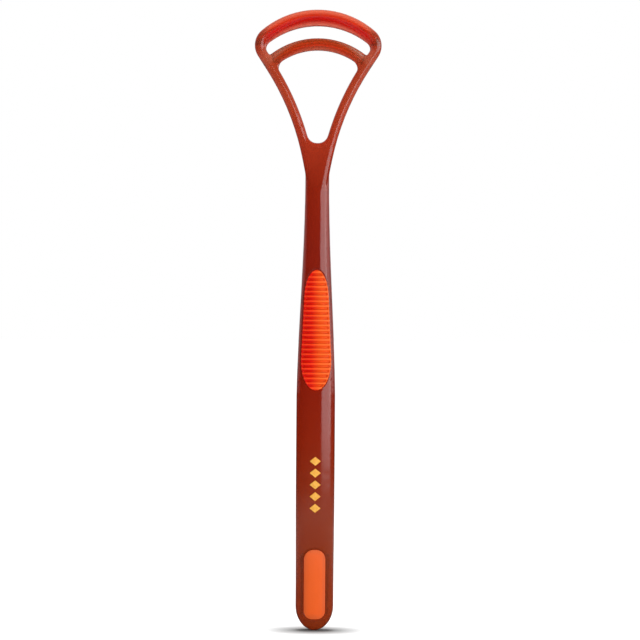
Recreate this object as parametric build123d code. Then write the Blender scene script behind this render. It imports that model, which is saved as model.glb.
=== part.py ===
"""Tongue scraper: one rigid moulding with two soft grips set into it.

The tool stands upright as it was photographed. The origin is at the foot of its tail, X points to the
right, Y points away from the user, towards the tongue, and Z points up to the head. Sizes are in
millimetres. The scraping lips and the flat of the handle's back share one plane, the rest plane, so the
tool lies flat on its back. A height is measured up from the tail's foot, and a drop down from the top.
"""

import math
import os

from build123d import *

# Whole tool
overall_length = 180.0

# Handle, from the tail up
tail_round = 7.0            # length of the tail's rounded end
tail_width = 11.0
tail_thickness = 5.6
tail_foot_angle = 9.0       # where round the tail's curve its small flat foot starts
tail_bluntness = 0.55       # 1 gives the tail an elliptical side view, less gives a blunter one
tail_sections = 6
handle_low_height = 40.0    # the tail's slimmer end has widened to the full handle here
handle_width = 11.3
handle_thickness = 6.7
taper_top_drop = 51.2       # the handle narrows to its neck between here and the taper's foot
taper_length = 65.3
land_top_drop = 82.0        # the handle's back starts to lean forward to the head here
neck_lean_drop = 64.0       # the handle's front starts to lean back to the head here
neck_top_drop = 42.0        # the handle's end, hidden inside the head's web
neck_width = 7.05
neck_sink = 0.3             # how deep the handle's end lies inside the web's faces
handle_sections = 27
section_fullness = 0.62     # 0.55 gives elliptical walls, more gives squarer ones
widest_share = 0.56         # where the section is widest, as a share of its thickness from the front
front_flat_share = 0.12
back_flat_share = 0.5

# Head: a rim of even width round a fan-shaped opening, with two bands across it
top_arc_radius = 25.2
corner_reach = 19.9         # half width where rail and top arc would meet if the corner were sharp
corner_radius = 5.6
flare_drop = 29.4           # where the rail's line and the neck's line would meet
flare_reach = 7.15
flare_radius = 75.0
web_foot_drop = 55.0        # the web's hidden lower end, inside the neck
web_foot_reach = 2.0
rail_width = 2.95
rim_thickness = 4.0
rim_front_round = 1.3
rim_back_round = 1.0
crotch_drop = 38.7          # lowest point of the big opening
crotch_radius = 2.9
largest_crotch_share = 0.65 # the crotch's radius is at most this share of its flat's length
slot_top_drop = 4.8
slot_top_radius = 23.2
slot_foot_drop = 8.35
slot_foot_radius = 22.6
slot_corner_radius = 2.4
slot_tip_radius = 0.5
opening_top_drop = 11.85
opening_top_radius = 18.9
opening_corner_radius = 2.8
band_setback = 0.25         # the bands' front behind the rim's front on the centre line
band_bow_radius = 125.0     # the bands curve away from the user towards the rails
band_back_setback = 0.3
band_round = 1.1
band_overlap = 0.25         # how far the bands' walls run inside the rails
band_foot_drop = 22.0       # the bands' hidden lower ends, inside the rails
lip_height = 2.2            # scraping lips above the rim's back, up to the rest plane
lip_root_width = 1.9
lip_root_sink = 0.5         # how deep the lips' roots run into the bands
upper_lip_drop = 2.4
upper_lip_radius = 24.0
lower_lip_drop = 10.1
lower_lip_radius = 20.5
lip_tip_width = 0.7
lip_tip_round = 0.3
lip_end_overlap = 0.8       # the lips' ends run this far onto the rails
lip_end_round = 2.0

# Thumb grip: an egg-shaped soft insert with cross ribs, held by two posts through the handle
grip_proud = 0.3            # the thumb grip's crown above the handle's surface
grip_clearance = 0.03
thumb_top_drop = 75.5
thumb_length = 34.9
thumb_low_reach = 8.6       # from the egg's foot to its widest point
thumb_low_width = 8.9
thumb_high_reach = 8.5      # from the egg's top to where its sides straighten
thumb_high_width = 7.25
thumb_depth = 2.5           # from the handle's front crest to the pocket's floor
rib_count = 25
rib_height = 0.4
rib_share = 0.42            # a rib's width as a share of the ribs' pitch
thumb_border = 0.45         # plain border round the ribs
post_radius = 1.4
post_head_radius = 2.1
post_head_depth = 0.8
post_spacing = 17.0

# Tail grip: an oblong soft insert right through the handle, locked by a ridge round its middle
tail_proud = 0.2            # the tail grip's crown above the handle's surface
tail_grip_foot = 3.2
tail_grip_length = 20.3
tail_grip_width = 6.3
tail_grip_top_round = 2.9
tail_grip_foot_round = 2.5
lock_ridge_depth = 0.7
lock_ridge_thickness = 1.2

# Depths along Y: the rest plane, the handle's front, and the rim's faces
rest_plane = (handle_thickness + grip_proud) / 2
handle_front = rest_plane - handle_thickness
rim_back = rest_plane - lip_height
rim_front = rim_back - rim_thickness
pocket_floor = handle_front + thumb_depth
land_stock = 0.2            # the handle's back before its flat is cut at the rest plane
stock_back = rest_plane + land_stock

# Heights along Z that more than one piece uses
neck_top = overall_length - neck_top_drop
thumb_top = overall_length - thumb_top_drop
thumb_foot = thumb_top - thumb_length
far = overall_length        # longer than anything that a cut has to clear


def slab(outline, front, back):
    """The solid of a front-view outline between two depths."""
    return extrude(Plane.XZ.offset(-back) * outline, back - front)


def under_arc(drop, radius):
    """The front-view area under an arc whose top is on the centre line at the given drop."""
    centre = Pos(0, overall_length - drop - radius)
    return centre * (Circle(radius) + Rectangle(2 * radius, far, align=(Align.CENTER, Align.MAX)))


def section(height, half_width, front, back):
    """One level section of the handle: a domed front and a back with a flat between round corners."""
    widest = front + widest_share * (back - front)

    def corner(flat_share, depth, side):
        """The wall from the widest point to the flat at one depth, on one side of the centre."""
        flat = flat_share * half_width
        side_pull = widest + section_fullness * (depth - widest)
        flat_pull = flat + section_fullness * (half_width - flat)
        return Bezier(
            (side * half_width, widest),
            (side * half_width, side_pull),
            (side * flat_pull, depth),
            (side * flat, depth),
        )

    corners = [
        corner(share, depth, side)
        for share, depth in ((front_flat_share, front), (back_flat_share, back))
        for side in (1, -1)
    ]
    flats = [
        Line((share * half_width, depth), (-share * half_width, depth))
        for share, depth in ((front_flat_share, front), (back_flat_share, back))
    ]
    return Plane.XY.offset(height) * make_face(corners + flats)


def eased(height, start, end, low, high):
    """A size that changes gently from low to high between two heights."""
    share = min(max((height - start) / (end - start), 0.0), 1.0)
    return low + share * share * (3 - 2 * share) * (high - low)


def tail_stations():
    """Height, half width, front and back of the sections that round the tail off."""
    tail_front = rest_plane - tail_thickness
    tail_middle = (tail_front + stock_back) / 2
    stations = []
    for step in range(tail_sections):
        angle = math.radians(tail_foot_angle + (90 - tail_foot_angle) * step / tail_sections)
        depth_share = math.sin(angle) ** tail_bluntness
        stations.append((
            tail_round * (math.cos(math.radians(tail_foot_angle)) - math.cos(angle)),
            tail_width / 2 * math.sin(angle),
            tail_middle + depth_share * (tail_front - tail_middle),
            tail_middle + depth_share * (stock_back - tail_middle),
        ))
    return stations


def handle_stations():
    """Height, half width, front and back of the sections from the tail to inside the head's web."""
    taper_top = overall_length - taper_top_drop
    taper_foot = taper_top - taper_length
    land_top = overall_length - land_top_drop
    neck_lean = overall_length - neck_lean_drop
    stations = []
    for step in range(handle_sections):
        height = tail_round + (neck_top - tail_round) * step / (handle_sections - 1)
        widened = eased(height, tail_round, handle_low_height, tail_width, handle_width)
        narrowed = eased(height, taper_foot, taper_top, 0, handle_width - neck_width)
        thickened = eased(height, tail_round, handle_low_height, tail_thickness, handle_thickness)
        front_lean = eased(height, neck_lean, neck_top, 0, rim_front + neck_sink - handle_front)
        back_lean = eased(height, land_top, neck_top, 0, stock_back - rim_back + neck_sink)
        stations.append((
            height,
            (widened - narrowed) / 2,
            rest_plane - thickened + front_lean,
            stock_back - back_lean,
        ))
    return stations


def handle_shell(grow=0.0):
    """The handle from the tail to inside the head's web, with its walls moved out by grow."""
    return loft([
        section(height, half_width + grow, front - grow, back + grow)
        for height, half_width, front, back in tail_stations() + handle_stations()
    ])


def fan_sides(wall, foot_drop):
    """The area between the head's leaning sides, moved in by a wall, from a foot to past the top arc."""
    arc_centre = overall_length - top_arc_radius
    corner = Vector(corner_reach, arc_centre + math.sqrt(top_arc_radius**2 - corner_reach**2))
    flare = Vector(flare_reach, overall_length - flare_drop)
    low_side = flare - Vector(web_foot_reach, overall_length - web_foot_drop)
    high_side = corner - flare
    low_inward = low_side.rotate(Axis.Z, 90).normalized()
    high_inward = high_side.rotate(Axis.Z, 90).normalized()
    flare += (low_inward + high_inward) * (wall / (1 + low_inward.dot(high_inward)))
    foot, tip = flare - low_side, flare + high_side * 2
    inner = make_face(Polyline((-far, foot.Y), foot, flare, tip, (-far, tip.Y), close=True))
    inner = fillet(inner.vertices().sort_by_distance(flare)[0], flare_radius + wall)
    kept = Pos(0, overall_length - foot_drop) * Rectangle(far, far, align=(Align.CENTER, Align.MIN))
    return inner & mirror(inner, about=Plane.YZ) & kept


def sharp_fan(wall, foot_drop):
    """The head's outline, moved in by a wall, with sharp corners: its sides under the top arc."""
    return fan_sides(wall, foot_drop) & under_arc(wall, top_arc_radius - wall)


def round_fan(wall, foot_drop):
    """The head's outline, moved in by a wall, with its two corners rounded."""
    fan = sharp_fan(wall, foot_drop)
    across = fan.vertices().sort_by(Axis.X)
    return fillet([across[0], across[-1]], corner_radius - wall)


def rim():
    """The head's outer frame: both rails, the rail along the top arc and the web above the neck."""
    opening = round_fan(rail_width, crotch_drop)
    crotch = opening.edges().sort_by(Axis.Y)[0]
    opening = fillet(crotch.vertices(), min(crotch_radius, largest_crotch_share * crotch.length))
    frame = slab(round_fan(0, web_foot_drop) - opening, rim_front, rim_back)
    frame = fillet(frame.faces().sort_by(Axis.Y)[0].edges(), rim_front_round)
    return fillet(frame.faces().sort_by(Axis.Y)[-1].edges(), rim_back_round)


def bands():
    """The two bands that cross the head, one under the top arc and one below the slot."""
    between_rails = sharp_fan(rail_width - band_overlap, crotch_drop)
    slot_top = under_arc(slot_top_drop, slot_top_radius)
    slot = (between_rails & slot_top) - under_arc(slot_foot_drop, slot_foot_radius)
    slot = fillet(slot.vertices().sort_by(Axis.Y)[-2:], slot_corner_radius)
    slot = fillet(slot.vertices().sort_by(Axis.Y)[:2], slot_tip_radius)
    opening = between_rails & under_arc(opening_top_drop, opening_top_radius)
    opening = offset(offset(opening, -opening_corner_radius), opening_corner_radius)
    plate = slab(Rectangle(far, 3 * far) - slot - opening, rim_front, rim_back - band_back_setback)
    bow_centre = rim_front + band_setback + band_bow_radius
    plate = plate & Pos(0, bow_centre, 0) * Cylinder(band_bow_radius, 3 * far)
    for face in (plate.faces().sort_by(Axis.Y)[0], plate.faces().sort_by(Axis.Y)[-1]):
        plate = fillet([edge for wire in face.inner_wires() for edge in wire.edges()], band_round)
    return plate & slab(round_fan(rim_back_round, band_foot_drop), rim_front, rim_back)


def lips():
    """The scraping lips on the backs of the bands, wedges that run along an arc from rail to rail."""
    root = rim_back - band_back_setback - lip_root_sink
    between_rails = fan_sides(rail_width - lip_end_overlap, band_foot_drop)
    reach = slab(between_rails, root, rest_plane)
    ends = reach.faces().sort_by(Axis.Y)[-1].edges().filter_by(Axis.X, reverse=True)
    reach = fillet(ends, lip_end_round)
    shapes = []
    for drop, radius in ((upper_lip_drop, upper_lip_radius), (lower_lip_drop, lower_lip_radius)):
        top = overall_length - drop
        profile = make_face(Polyline(
            (root, top - lip_root_width / 2),
            (rest_plane, top - lip_tip_width / 2),
            (rest_plane, top + lip_tip_width / 2),
            (root, top + lip_root_width / 2),
            close=True,
        ))
        profile = fillet(profile.vertices().sort_by(Axis.X)[-2:], lip_tip_round)
        ring = revolve(Plane.YZ * profile, Axis((0, 0, top - radius), (0, 1, 0)), 360)
        shapes.append(ring & reach)
    return shapes


def thumb_outline(grow=0.0):
    """The thumb grip's egg in front view: half an ellipse below, half a narrower one on top."""
    low, high = thumb_low_width / 2 + grow, thumb_high_width / 2 + grow
    low_centre = (0, thumb_foot + thumb_low_reach)
    high_centre = (0, thumb_top - thumb_high_reach)
    foot = EllipticalCenterArc(low_centre, low, thumb_low_reach + grow, 180, arc_size=180)
    top = EllipticalCenterArc(high_centre, high, thumb_high_reach + grow, 0, arc_size=180)
    return make_face([foot, Line(foot @ 1, top @ 0), top, Line(top @ 1, foot @ 0)])


def thumb_posts(clearance=0.0):
    """The two posts from the thumb grip through the handle, with their heads in its back."""
    middle = (thumb_foot + thumb_top) / 2
    centres = [Pos(0, middle + side * post_spacing / 2) for side in (-1, 1)]
    posts = []
    for centre in centres:
        posts.append(slab(centre * Circle(post_radius - clearance), pocket_floor - clearance, rest_plane))
        head = Circle(post_head_radius - clearance)
        posts.append(slab(centre * head, rest_plane - post_head_depth + clearance, rest_plane))
    return posts


def thumb_grip():
    """The soft thumb grip: a crowned egg with a plain border and raised cross ribs."""
    egg = thumb_outline(-grip_clearance)
    field = thumb_outline(-grip_clearance - thumb_border)
    pitch = thumb_length / rib_count
    valley = Rectangle(far, (1 - rib_share) * pitch)
    valleys = [Pos(0, thumb_foot + index * pitch) * valley for index in range(rib_count + 1)]
    raised = egg - (field & (Sketch() + valleys))
    floor = pocket_floor - grip_clearance
    low = handle_shell(grip_proud - rib_height) & slab(egg, -far, floor)
    high = handle_shell(grip_proud) & slab(raised, -far, floor)
    return low + high + thumb_posts(grip_clearance)


def tail_outline(grow=0.0):
    """The tail grip's oblong in front view."""
    size = (tail_grip_width + 2 * grow, tail_grip_length + 2 * grow)
    oblong = Pos(0, tail_grip_foot - grow) * Rectangle(*size, align=(Align.CENTER, Align.MIN))
    oblong = fillet(oblong.vertices().group_by(Axis.Y)[-1], tail_grip_top_round + grow)
    return fillet(oblong.vertices().group_by(Axis.Y)[0], tail_grip_foot_round + grow)


def tail_plug(clearance=0.0):
    """What fills the tail's window: an oblong with a groove round it for the handle's lock ridge."""
    middle = rest_plane - tail_thickness / 2
    half_ridge = lock_ridge_thickness / 2 + clearance
    outer = tail_outline(-clearance)
    groove = outer - tail_outline(-lock_ridge_depth - clearance)
    return slab(outer, -far, rest_plane) - slab(groove, middle - half_ridge, middle + half_ridge)


def tail_grip():
    """The soft tail grip, crowned in front and level with the handle's back."""
    return handle_shell(tail_proud) & tail_plug(grip_clearance)


def body():
    """The rigid moulding, from the scraping lips to the tail, with its pocket and its window."""
    shape = handle_shell() + rim() + bands() + lips()
    shape -= slab(Rectangle(far, 3 * far), rest_plane, far)
    shape -= slab(thumb_outline(), -far, pocket_floor)
    shape -= thumb_posts()
    return shape - tail_plug()


os.makedirs("parts", exist_ok=True)
for name, shape in (("body", body()), ("thumb_grip", thumb_grip()), ("tail_grip", tail_grip())):
    export_step(shape, f"parts/{name}.step")
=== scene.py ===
"""Looks of the tongue scraper: a tinted translucent moulding with two soft grips, in a white studio."""

import math

import bmesh
import bpy
from mathutils.bvhtree import BVHTree
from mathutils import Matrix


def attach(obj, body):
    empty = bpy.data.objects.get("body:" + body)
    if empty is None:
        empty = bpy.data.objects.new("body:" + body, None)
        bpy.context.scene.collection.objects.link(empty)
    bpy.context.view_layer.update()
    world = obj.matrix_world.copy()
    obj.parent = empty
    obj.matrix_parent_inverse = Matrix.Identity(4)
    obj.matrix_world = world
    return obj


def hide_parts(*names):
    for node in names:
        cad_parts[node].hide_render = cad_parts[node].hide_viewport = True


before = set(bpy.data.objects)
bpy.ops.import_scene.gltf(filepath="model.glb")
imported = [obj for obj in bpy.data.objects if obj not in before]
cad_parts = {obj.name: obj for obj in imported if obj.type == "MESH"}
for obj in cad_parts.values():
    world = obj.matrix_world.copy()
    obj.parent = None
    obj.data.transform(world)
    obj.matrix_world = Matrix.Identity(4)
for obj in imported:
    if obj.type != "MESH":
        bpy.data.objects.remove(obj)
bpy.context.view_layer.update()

# The photograph's frame: the object fills a square view, and leans slightly to the right
view_width = 0.18582
view_centre = (0.00107, 0.0900)     # across and up, in metres from the tail's foot
view_roll = math.radians(-0.40)
camera_distance = 0.90
sensor_width = 36.0

# The tool, as in its source, in metres
overall_length = 0.18
thumb_foot = 0.0696
thumb_length = 0.0349
rib_count = 25
tail_heights = (0.0031, 0.0233)
tail_sides = (-0.0031, 0.0031)
arc_centre = 0.1548                 # height that the head's arcs curve round
arc_reach = (0.0130, 0.0252)        # from the inner arc's lower edge to the top
arc_tint_heights = (0.163, 0.168)   # the arcs' tint and painted edge light fade in above the rails, and out towards them
arc_tint_sides = (0.0140, 0.0170)   # and out towards them

# What fills the grips' pockets inside the moulding, so that no gap shows through it
plug_growth_across = 0.012
plug_growth_along = 0.004
plug_front_sink = 0.0008
plug_back_sink = 0.0003

# Places that are smoothed further: the plain handle between the grips, the place where the neck
# runs into the head's web, and the head itself
soft_fade = 0.005
handle_soft_heights = (0.025, 0.069)
handle_soft_rounds = 60
neck_soft_heights = (0.121, 0.141)
neck_soft_rounds = 60
head_soft_heights = (0.128, 0.190)
head_soft_rounds = 24
soft_levels = 10

# The printed mark on the handle
mark_count = 5
mark_middle = 0.0423
mark_pitch = 0.0034
mark_half_width = 0.0016
mark_half_height = 0.0013
mark_proud = 0.00002
mark_thickness = 0.00006
mark_segments = 12

# The surround as reflections see it: bright where a ray goes far to the right, paler where it goes back
right_turn = (0.80, 0.97)
right_brightness = (0.0, 1.6)
back_turn = (-0.10, 0.30)
back_brightness = (0.04, 0.45)
fill_brightness = 0.25

# The floor: its shade for light and for the camera, and how far off it is plain white again round a
# painted shadow at the tool's foot
floor_shade = 0.93
floor_seen_shade = 0.32
painted_shadow_reach = (0.004, 0.017)
floor_drop = 0.0001
floor_front = -0.95                 # it ends behind the camera
floor_back = 12
floor_side = 6

# Materials: ranges of roughness and scales of noise, in waves per metre
noise_range = (0.3, 0.7)
plastic_haze_scale = 2500
plastic_roughness = (0.09, 0.13)
elastomer_grain_scale = 4000
elastomer_roughness = (0.26, 0.38)
elastomer_grain_depth = 0.00005
rib_painted_highlight_band = (0.20, 0.46)            # where a crest's painted highlight comes in over the valleys' painted shade, as a share of the ribs' pitch
post_start = (-0.001, 0.001)        # behind this the posts are plain
thumb_painted_reflection_turn = (-0.0017, 0.0017)      # from the redder left to the more orange right, a painted reflection of the softbox strip
tail_cloud_scale = 260
tail_cloud_share = (0.35, 0.65)
ink_scale = 1500


def add_camera():
    """A long lens level with the middle of the tool, as far away as the floor's shadow shows."""
    data = bpy.data.cameras.new("camera")
    data.sensor_width = sensor_width
    data.lens = sensor_width * camera_distance / view_width
    camera = bpy.data.objects.new("camera", data)
    camera.location = (view_centre[0], -camera_distance, view_centre[1])
    camera.rotation_euler = (math.radians(90), view_roll, 0)
    bpy.context.scene.collection.objects.link(camera)
    bpy.context.scene.camera = camera


def area_lamp(name, place, target, size, power, reflected=True):
    """A softbox turned to a target, which may show in reflections but not through the plastic."""
    data = bpy.data.lights.new(name, "AREA")
    data.shape = "RECTANGLE"
    data.size, data.size_y = size
    data.energy = power
    lamp = bpy.data.objects.new(name, data)
    lamp.location = place
    lamp.visible_glossy = reflected
    lamp.visible_transmission = False
    direction = lamp.location - type(lamp.location)(target)
    lamp.rotation_euler = direction.to_track_quat("Z", "Y").to_euler()
    bpy.context.scene.collection.objects.link(lamp)


def add_lamps():
    """A softbox that the strip down the handle's right reflects, and light from in front and above."""
    area_lamp("strip", place=(0.585, -0.546, 0.21), target=(0, 0, 0.21), size=(1.04, 0.40), power=3.9)
    area_lamp("front", place=(0, -1.0, 0.5), target=(0, 0, 0.09), size=(0.5, 0.5), power=2.2,
              reflected=False)
    area_lamp("overhead", place=(0, 0, 1.1), target=(0, 0, 0), size=(0.1, 0.1), power=8.0,
              reflected=False)


def ray_kinds(nodes, links):
    """Two flags of a ray: the camera's own, straight or through the plastic, and a reflected one."""
    path = nodes.new("ShaderNodeLightPath")
    shown = nodes.new("ShaderNodeMath")
    shown.operation = "MAXIMUM"
    links.new(path.outputs["Is Camera Ray"], shown.inputs[0])
    links.new(path.outputs["Is Transmission Ray"], shown.inputs[1])
    return shown.outputs[0], path.outputs["Is Glossy Ray"]


def map_range(nodes, links, value, source, target, smooth=False):
    """A value's range stretched to another one, and clamped to it."""
    node = nodes.new("ShaderNodeMapRange")
    if smooth:
        node.interpolation_type = "SMOOTHSTEP"
    names = ("From Min", "From Max", "To Min", "To Max")
    for name, number in zip(names, (*source, *target)):
        node.inputs[name].default_value = number
    links.new(value, node.inputs["Value"])
    return node.outputs["Result"]


def mix_numbers(nodes, links, factor, low, high):
    """A number between two others, each of them a socket or a constant."""
    node = nodes.new("ShaderNodeMix")
    links.new(factor, node.inputs["Factor"])
    for socket, number in ((node.inputs["A"], low), (node.inputs["B"], high)):
        if isinstance(number, float):
            socket.default_value = number
        else:
            links.new(number, socket)
    return node.outputs["Result"]


def object_place(nodes, links, axis):
    """The place along one of the object's axes, in metres."""
    place = nodes.new("ShaderNodeTexCoord")
    axes = nodes.new("ShaderNodeSeparateXYZ")
    links.new(place.outputs["Object"], axes.inputs[0])
    return axes.outputs[axis]


def colour_ramp(nodes, links, factor, stops):
    """A colour that changes along a factor."""
    ramp = nodes.new("ShaderNodeValToRGB")
    elements = ramp.color_ramp.elements
    while len(elements) < len(stops):
        elements.new(0.5)
    for element, (position, colour) in zip(elements, stops):
        element.position = position
        element.color = (*colour, 1)
    links.new(factor, ramp.inputs[0])
    return ramp.outputs["Color"]


def mix_colours(nodes, links, factor, low, high):
    """A colour between two others. The mix node's colour sockets come after its numbers and vectors."""
    node = nodes.new("ShaderNodeMix")
    node.data_type = "RGBA"
    links.new(factor, node.inputs[0])
    links.new(low, node.inputs[6])
    links.new(high, node.inputs[7])
    return node.outputs[2]


def noise(nodes, links, scale):
    """A noise fixed to the object, its scale in waves per metre."""
    place = nodes.new("ShaderNodeTexCoord")
    texture = nodes.new("ShaderNodeTexNoise")
    texture.inputs["Scale"].default_value = scale
    links.new(place.outputs["Object"], texture.inputs["Vector"])
    return texture.outputs["Fac"]


def add_world():
    """A white surround. In reflections it is bright at the right, paler behind, and dim in front."""
    world = bpy.data.worlds.new("studio")
    world.use_nodes = True
    nodes, links = world.node_tree.nodes, world.node_tree.links
    shown, glossy = ray_kinds(nodes, links)
    place = nodes.new("ShaderNodeTexCoord")
    axes = nodes.new("ShaderNodeSeparateXYZ")
    links.new(place.outputs["Generated"], axes.inputs[0])
    behind = map_range(nodes, links, axes.outputs["Y"], back_turn, back_brightness)
    beside = map_range(nodes, links, axes.outputs["X"], right_turn, right_brightness)
    mirrored = nodes.new("ShaderNodeMath")
    mirrored.operation = "MAXIMUM"
    links.new(behind, mirrored.inputs[0])
    links.new(beside, mirrored.inputs[1])
    unseen = mix_numbers(nodes, links, glossy, fill_brightness, mirrored.outputs[0])
    level = mix_numbers(nodes, links, shown, unseen, 1.0)
    background = nodes["Background"]
    background.inputs["Color"].default_value = (1, 1, 1, 1)
    links.new(level, background.inputs["Strength"])
    bpy.context.scene.world = world


def new_material(name):
    """A node material, its nodes, its links and its shader."""
    material = bpy.data.materials.new(name)
    material.use_nodes = True
    nodes = material.node_tree.nodes
    return material, nodes, material.node_tree.links, nodes["Principled BSDF"]


def floor_material():
    """White: shadowed near the tool's foot by the lamps and by a painted shadow, where its glow for the
    camera fades out, plain farther off, and dimmer in reflections.
    """
    material, nodes, links, shader = new_material("floor")
    shader.inputs["Roughness"].default_value = 0.9
    shader.inputs["Specular IOR Level"].default_value = 0.0
    shader.inputs["Emission Color"].default_value = (1, 1, 1, 1)
    shown, glossy = ray_kinds(nodes, links)
    place = nodes.new("ShaderNodeTexCoord")
    distance = nodes.new("ShaderNodeVectorMath")
    distance.operation = "LENGTH"
    links.new(place.outputs["Object"], distance.inputs[0])
    mirrored = colour_ramp(nodes, links, distance.outputs["Value"], (
        (0.10, (0.12, 0.12, 0.12)),
        (0.25, (0.50, 0.50, 0.50)),
        (1.00, (0.05, 0.05, 0.05)),
    ))
    unseen = mix_numbers(nodes, links, glossy, floor_shade, mirrored)
    links.new(mix_numbers(nodes, links, shown, unseen, floor_seen_shade), shader.inputs["Base Color"])
    # Painted shadow: the glow that makes the floor white for the camera fades out close to the tool's foot
    glow = map_range(nodes, links, distance.outputs["Value"], painted_shadow_reach, (0.0, 1.0))
    strength = nodes.new("ShaderNodeMath")
    strength.operation = "MULTIPLY"
    links.new(shown, strength.inputs[0])
    links.new(glow, strength.inputs[1])
    links.new(strength.outputs[0], shader.inputs["Emission Strength"])
    return material


def add_floor():
    """The table top under the tail."""
    corners = [
        (-floor_side, floor_front, -floor_drop),
        (floor_side, floor_front, -floor_drop),
        (floor_side, floor_back, -floor_drop),
        (-floor_side, floor_back, -floor_drop),
    ]
    mesh = bpy.data.meshes.new("floor")
    mesh.from_pydata(corners, [], [(0, 1, 2, 3)])
    mesh.materials.append(floor_material())
    floor = bpy.data.objects.new("floor", mesh)
    bpy.context.scene.collection.objects.link(floor)


def arc_tint_with_painted_edge_light(nodes, links):
    """The two arcs' colour along their radius: pure red within, and paler, pinkish bands at the edges that
    are painted light, for the edges' highlights and the light that they pass.
    """
    place = nodes.new("ShaderNodeTexCoord")
    offset = nodes.new("ShaderNodeVectorMath")
    offset.operation = "MULTIPLY_ADD"
    offset.inputs[1].default_value = (1, 0, 1)
    offset.inputs[2].default_value = (0, 0, -arc_centre)
    links.new(place.outputs["Object"], offset.inputs[0])
    radius = nodes.new("ShaderNodeVectorMath")
    radius.operation = "LENGTH"
    links.new(offset.outputs[0], radius.inputs[0])
    reach = map_range(nodes, links, radius.outputs["Value"], arc_reach, (0, 1))
    # Pure red between painted edge light: pale pinkish bands for the edges' highlights and the light that
    # they pass
    return colour_ramp(nodes, links, reach, (
        (0.05, (0.60, 0.170, 0.090)),
        (0.15, (0.70, 0.060, 0.014)),
        (0.26, (0.58, 0.080, 0.012)),
        (0.33, (0.66, 0.260, 0.150)),
        (0.64, (0.76, 0.220, 0.140)),
        (0.73, (0.76, 0.025, 0.012)),
        (0.80, (0.70, 0.002, 0.000)),
        (0.86, (0.77, 0.040, 0.003)),
        (0.95, (0.88, 0.250, 0.140)),
    ))


def tinted_plastic():
    """Polished translucent plastic, orange-red at the head and darker red along the neck and handle:
    painted shading for light through the thin head and the thicker handle, with painted edge light on the
    arcs.
    """
    material, nodes, links, shader = new_material("tinted_plastic")
    z = object_place(nodes, links, "Z")
    height = map_range(nodes, links, z, (0, overall_length), (0, 1))
    # Painted shading along the length: lighter and more orange at the thin head, darker red along the
    # thicker neck and handle, standing in for light through the plastic
    length_tint_and_painted_shade = colour_ramp(nodes, links, height, (
        (0.00, (0.30, 0.050, 0.006)),
        (0.18, (0.30, 0.050, 0.006)),
        (0.31, (0.33, 0.030, 0.004)),
        (0.40, (0.32, 0.022, 0.004)),
        (0.61, (0.31, 0.024, 0.008)),
        (0.71, (0.34, 0.027, 0.006)),
        (0.79, (0.50, 0.060, 0.020)),
        (0.86, (0.54, 0.090, 0.032)),
        (0.94, (0.48, 0.078, 0.030)),
    ))
    above = map_range(nodes, links, z, arc_tint_heights, (0, 1))
    sideways = nodes.new("ShaderNodeMath")
    sideways.operation = "ABSOLUTE"
    links.new(object_place(nodes, links, "X"), sideways.inputs[0])
    between = map_range(nodes, links, sideways.outputs[0], arc_tint_sides, (1, 0))
    on_arcs = nodes.new("ShaderNodeMath")
    on_arcs.operation = "MULTIPLY"
    links.new(above, on_arcs.inputs[0])
    links.new(between, on_arcs.inputs[1])
    tint = mix_colours(nodes, links, on_arcs.outputs[0], length_tint_and_painted_shade, arc_tint_with_painted_edge_light(nodes, links))
    links.new(tint, shader.inputs["Base Color"])
    haze = noise(nodes, links, plastic_haze_scale)
    roughness = map_range(nodes, links, haze, noise_range, plastic_roughness)
    links.new(roughness, shader.inputs["Roughness"])
    shader.inputs["IOR"].default_value = 1.5
    shader.inputs["Transmission Weight"].default_value = 0.6
    absorption = nodes.new("ShaderNodeVolumeAbsorption")
    absorption.inputs["Color"].default_value = (0.93, 0.17, 0.0, 1)
    absorption.inputs["Density"].default_value = 300.0
    links.new(absorption.outputs[0], nodes["Material Output"].inputs["Volume"])
    return material


def soft_texture(nodes, links, shader):
    """The fine matt grain of a moulded elastomer."""
    grain = noise(nodes, links, elastomer_grain_scale)
    roughness = map_range(nodes, links, grain, noise_range, elastomer_roughness)
    shader.inputs["Specular IOR Level"].default_value = 0.15
    links.new(roughness, shader.inputs["Roughness"])
    bump = nodes.new("ShaderNodeBump")
    bump.inputs["Strength"].default_value = 0.15
    bump.inputs["Distance"].default_value = elastomer_grain_depth
    links.new(grain, bump.inputs["Height"])
    links.new(bump.outputs[0], shader.inputs["Normal"])


def thumb_elastomer():
    """Bright elastomer: painted shade between the ribs, painted highlights on the crests, and a painted
    strip reflection from red to orange across.
    """
    material, nodes, links, shader = new_material("thumb_elastomer")
    count = map_range(nodes, links, object_place(nodes, links, "Z"),
                      (thumb_foot, thumb_foot + thumb_length), (0, rib_count))
    wave = nodes.new("ShaderNodeMath")
    wave.operation = "PINGPONG"
    wave.inputs[1].default_value = 0.5
    links.new(count, wave.inputs[0])
    ribs = map_range(nodes, links, wave.outputs[0], rib_painted_highlight_band, (0, 1), smooth=True)
    behind = map_range(nodes, links, object_place(nodes, links, "Y"), post_start, (0, 1))
    crest = nodes.new("ShaderNodeMath")
    crest.operation = "MAXIMUM"
    links.new(ribs, crest.inputs[0])
    links.new(behind, crest.inputs[1])
    # A painted reflection of the softbox strip: redder at the left, more orange at the right
    across = map_range(nodes, links, object_place(nodes, links, "X"), thumb_painted_reflection_turn, (0, 1), smooth=True)
    # Painted shade in the valleys and painted highlights on the crests
    valley_painted_shade = colour_ramp(nodes, links, across, ((0, (0.68, 0.004, 0.0)), (1, (0.80, 0.075, 0.002))))
    crest_painted_highlight = colour_ramp(nodes, links, across, ((0, (1.0, 0.050, 0.010)), (1, (1.0, 0.150, 0.022))))
    colour = mix_colours(nodes, links, crest.outputs[0], valley_painted_shade, crest_painted_highlight)
    links.new(colour, shader.inputs["Base Color"])
    soft_texture(nodes, links, shader)
    return material


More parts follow.
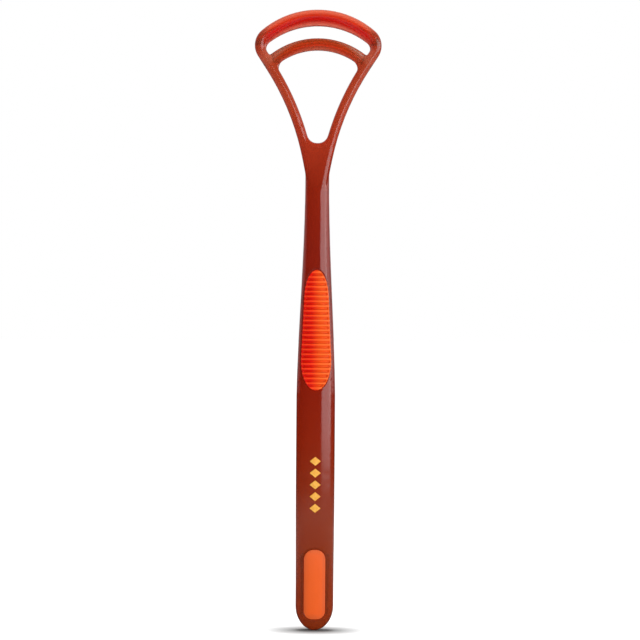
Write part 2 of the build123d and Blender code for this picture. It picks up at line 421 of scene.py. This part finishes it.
def tail_elastomer():
    """Satin orange elastomer, slightly clouded, with a painted highlight at its top and painted shade
    round its rim.
    """
    material, nodes, links, shader = new_material("tail_elastomer")
    height = map_range(nodes, links, object_place(nodes, links, "Z"), tail_heights, (0, 1))
    # Along its height: painted shade on the lower bevel and a paler painted highlight at the top
    along = colour_ramp(nodes, links, height, (
        (0.03, (0.55, 0.088, 0.020)),
        (0.09, (0.80, 0.108, 0.013)),
        (0.65, (0.79, 0.112, 0.017)),
        (0.93, (0.82, 0.132, 0.034)),
        (0.99, (0.66, 0.135, 0.055)),
    ))
    side = map_range(nodes, links, object_place(nodes, links, "X"), tail_sides, (0, 1))
    # Across it: painted shade at both side edges, lighter towards the right
    across = colour_ramp(nodes, links, side, (
        (0.04, (0.58, 0.095, 0.024)),
        (0.20, (0.74, 0.108, 0.015)),
        (0.60, (0.84, 0.120, 0.018)),
        (0.82, (0.80, 0.120, 0.022)),
        (0.96, (0.55, 0.100, 0.035)),
    ))
    share = map_range(nodes, links, noise(nodes, links, tail_cloud_scale), noise_range, tail_cloud_share)
    links.new(mix_colours(nodes, links, share, along, across), shader.inputs["Base Color"])
    soft_texture(nodes, links, shader)
    return material


def printed_gold():
    """Golden yellow printing ink, slightly uneven."""
    material, nodes, links, shader = new_material("printed_gold")
    colour = colour_ramp(nodes, links, noise(nodes, links, ink_scale), (
        (0.3, (0.84, 0.36, 0.03)),
        (0.7, (0.92, 0.50, 0.08)),
    ))
    links.new(colour, shader.inputs["Base Color"])
    shader.inputs["Roughness"].default_value = 0.4
    return material


def plug_mesh(node):
    """A grip's own shape, a little wider and well short of both faces, which fills the grip's pocket."""
    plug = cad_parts[node].data.copy()
    depths = [vertex.co.y for vertex in plug.vertices]
    heights = [vertex.co.z for vertex in plug.vertices]
    front, back = min(depths), max(depths)
    middle = (min(heights) + max(heights)) / 2
    kept = 1 - (plug_front_sink + plug_back_sink) / (back - front)
    for vertex in plug.vertices:
        vertex.co.x *= 1 + plug_growth_across
        vertex.co.y = front + plug_front_sink + kept * (vertex.co.y - front)
        vertex.co.z = middle + (1 + plug_growth_along) * (vertex.co.z - middle)
    return plug


def joined_mesh(node, filled):
    """A copy of a CAD node's mesh, with the pockets for the grips filled."""
    shape = bmesh.new()
    shape.from_mesh(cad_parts[node].data)
    for grip in filled:
        shape.from_mesh(plug_mesh(grip))
    mesh = bpy.data.meshes.new(node)
    shape.to_mesh(mesh)
    shape.free()
    return mesh


def smooth_by(piece, rounds, group=""):
    """Let a piece's mesh be smoothed, all over or as strongly as a vertex group says."""
    smooth = piece.modifiers.new("smooth", "SMOOTH")
    smooth.factor = 0.5
    smooth.iterations = rounds
    smooth.vertex_group = group


def apply_modifiers(piece):
    """Turn a piece's modifiers into its mesh."""
    depsgraph = bpy.context.evaluated_depsgraph_get()
    mesh = bpy.data.meshes.new_from_object(piece.evaluated_get(depsgraph))
    piece.modifiers.clear()
    piece.data = mesh


def smoothed_copy(node, name, voxel, rounds, material, filled=()):
    """A finely remeshed copy of a CAD node with its creases softened, which stands for the node."""
    piece = bpy.data.objects.new(name, joined_mesh(node, filled))
    bpy.context.scene.collection.objects.link(piece)
    remesh = piece.modifiers.new("remesh", "REMESH")
    remesh.mode = "VOXEL"
    remesh.voxel_size = voxel
    smooth_by(piece, rounds)
    apply_modifiers(piece)
    piece.data.materials.clear()
    piece.data.materials.append(material)
    piece.data.shade_smooth()
    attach(piece, "root")
    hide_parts(node)
    return piece


def soften(piece, heights, rounds):
    """Smooth a piece between two heights, fading out above and below."""
    group = piece.vertex_groups.new(name="soft")
    levels = {}
    for vertex in piece.data.vertices:
        inside = min(vertex.co.z - heights[0], heights[1] - vertex.co.z) / soft_fade
        level = round(soft_levels * min(max(inside, 0), 1))
        if level:
            levels.setdefault(level, []).append(vertex.index)
    for level, indices in levels.items():
        group.add(indices, level / soft_levels, "REPLACE")
    smooth_by(piece, rounds, group.name)
    apply_modifiers(piece)
    piece.vertex_groups.clear()


def add_lozenge(shape, tree, middle):
    """Add a fine lozenge-shaped sheet that follows the handle's front at a height."""
    grid = bmesh.ops.create_grid(shape, x_segments=mark_segments, y_segments=mark_segments, size=0.5)
    for vertex in grid["verts"]:
        across, along = vertex.co.x - vertex.co.y, vertex.co.x + vertex.co.y
        x, z = across * mark_half_width, middle + along * mark_half_height
        hit = tree.ray_cast((x, -1, z), (0, 1, 0))[0]
        vertex.co = (x, hit.y - mark_proud, z)


def add_mark(moulding):
    """A row of plain printed lozenges down the handle's front, above the tail grip."""
    bpy.context.view_layer.update()
    tree = BVHTree.FromObject(moulding, bpy.context.evaluated_depsgraph_get())
    shape = bmesh.new()
    for index in range(mark_count):
        add_lozenge(shape, tree, mark_middle + (index - (mark_count - 1) / 2) * mark_pitch)
    mesh = bpy.data.meshes.new("printed_mark")
    shape.to_mesh(mesh)
    shape.free()
    mesh.materials.append(printed_gold())
    mark = bpy.data.objects.new("printed_mark", mesh)
    bpy.context.scene.collection.objects.link(mark)
    solid = mark.modifiers.new("solid", "SOLIDIFY")
    solid.thickness = mark_thickness
    apply_modifiers(mark)
    mark.data.shade_smooth()
    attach(mark, "root")


add_camera()
add_lamps()
add_world()
add_floor()
body = smoothed_copy("body", "moulding", voxel=0.00017, rounds=14, material=tinted_plastic(),
                     filled=("thumb_grip", "tail_grip"))
soften(body, handle_soft_heights, handle_soft_rounds)
soften(body, neck_soft_heights, neck_soft_rounds)
soften(body, head_soft_heights, head_soft_rounds)
add_mark(body)
thumb = smoothed_copy("thumb_grip", "ribbed_grip", voxel=0.00012, rounds=3, material=thumb_elastomer())
tail = smoothed_copy("tail_grip", "tail_insert", voxel=0.00015, rounds=3, material=tail_elastomer())

bpy.context.scene.view_settings.view_transform = "Standard"
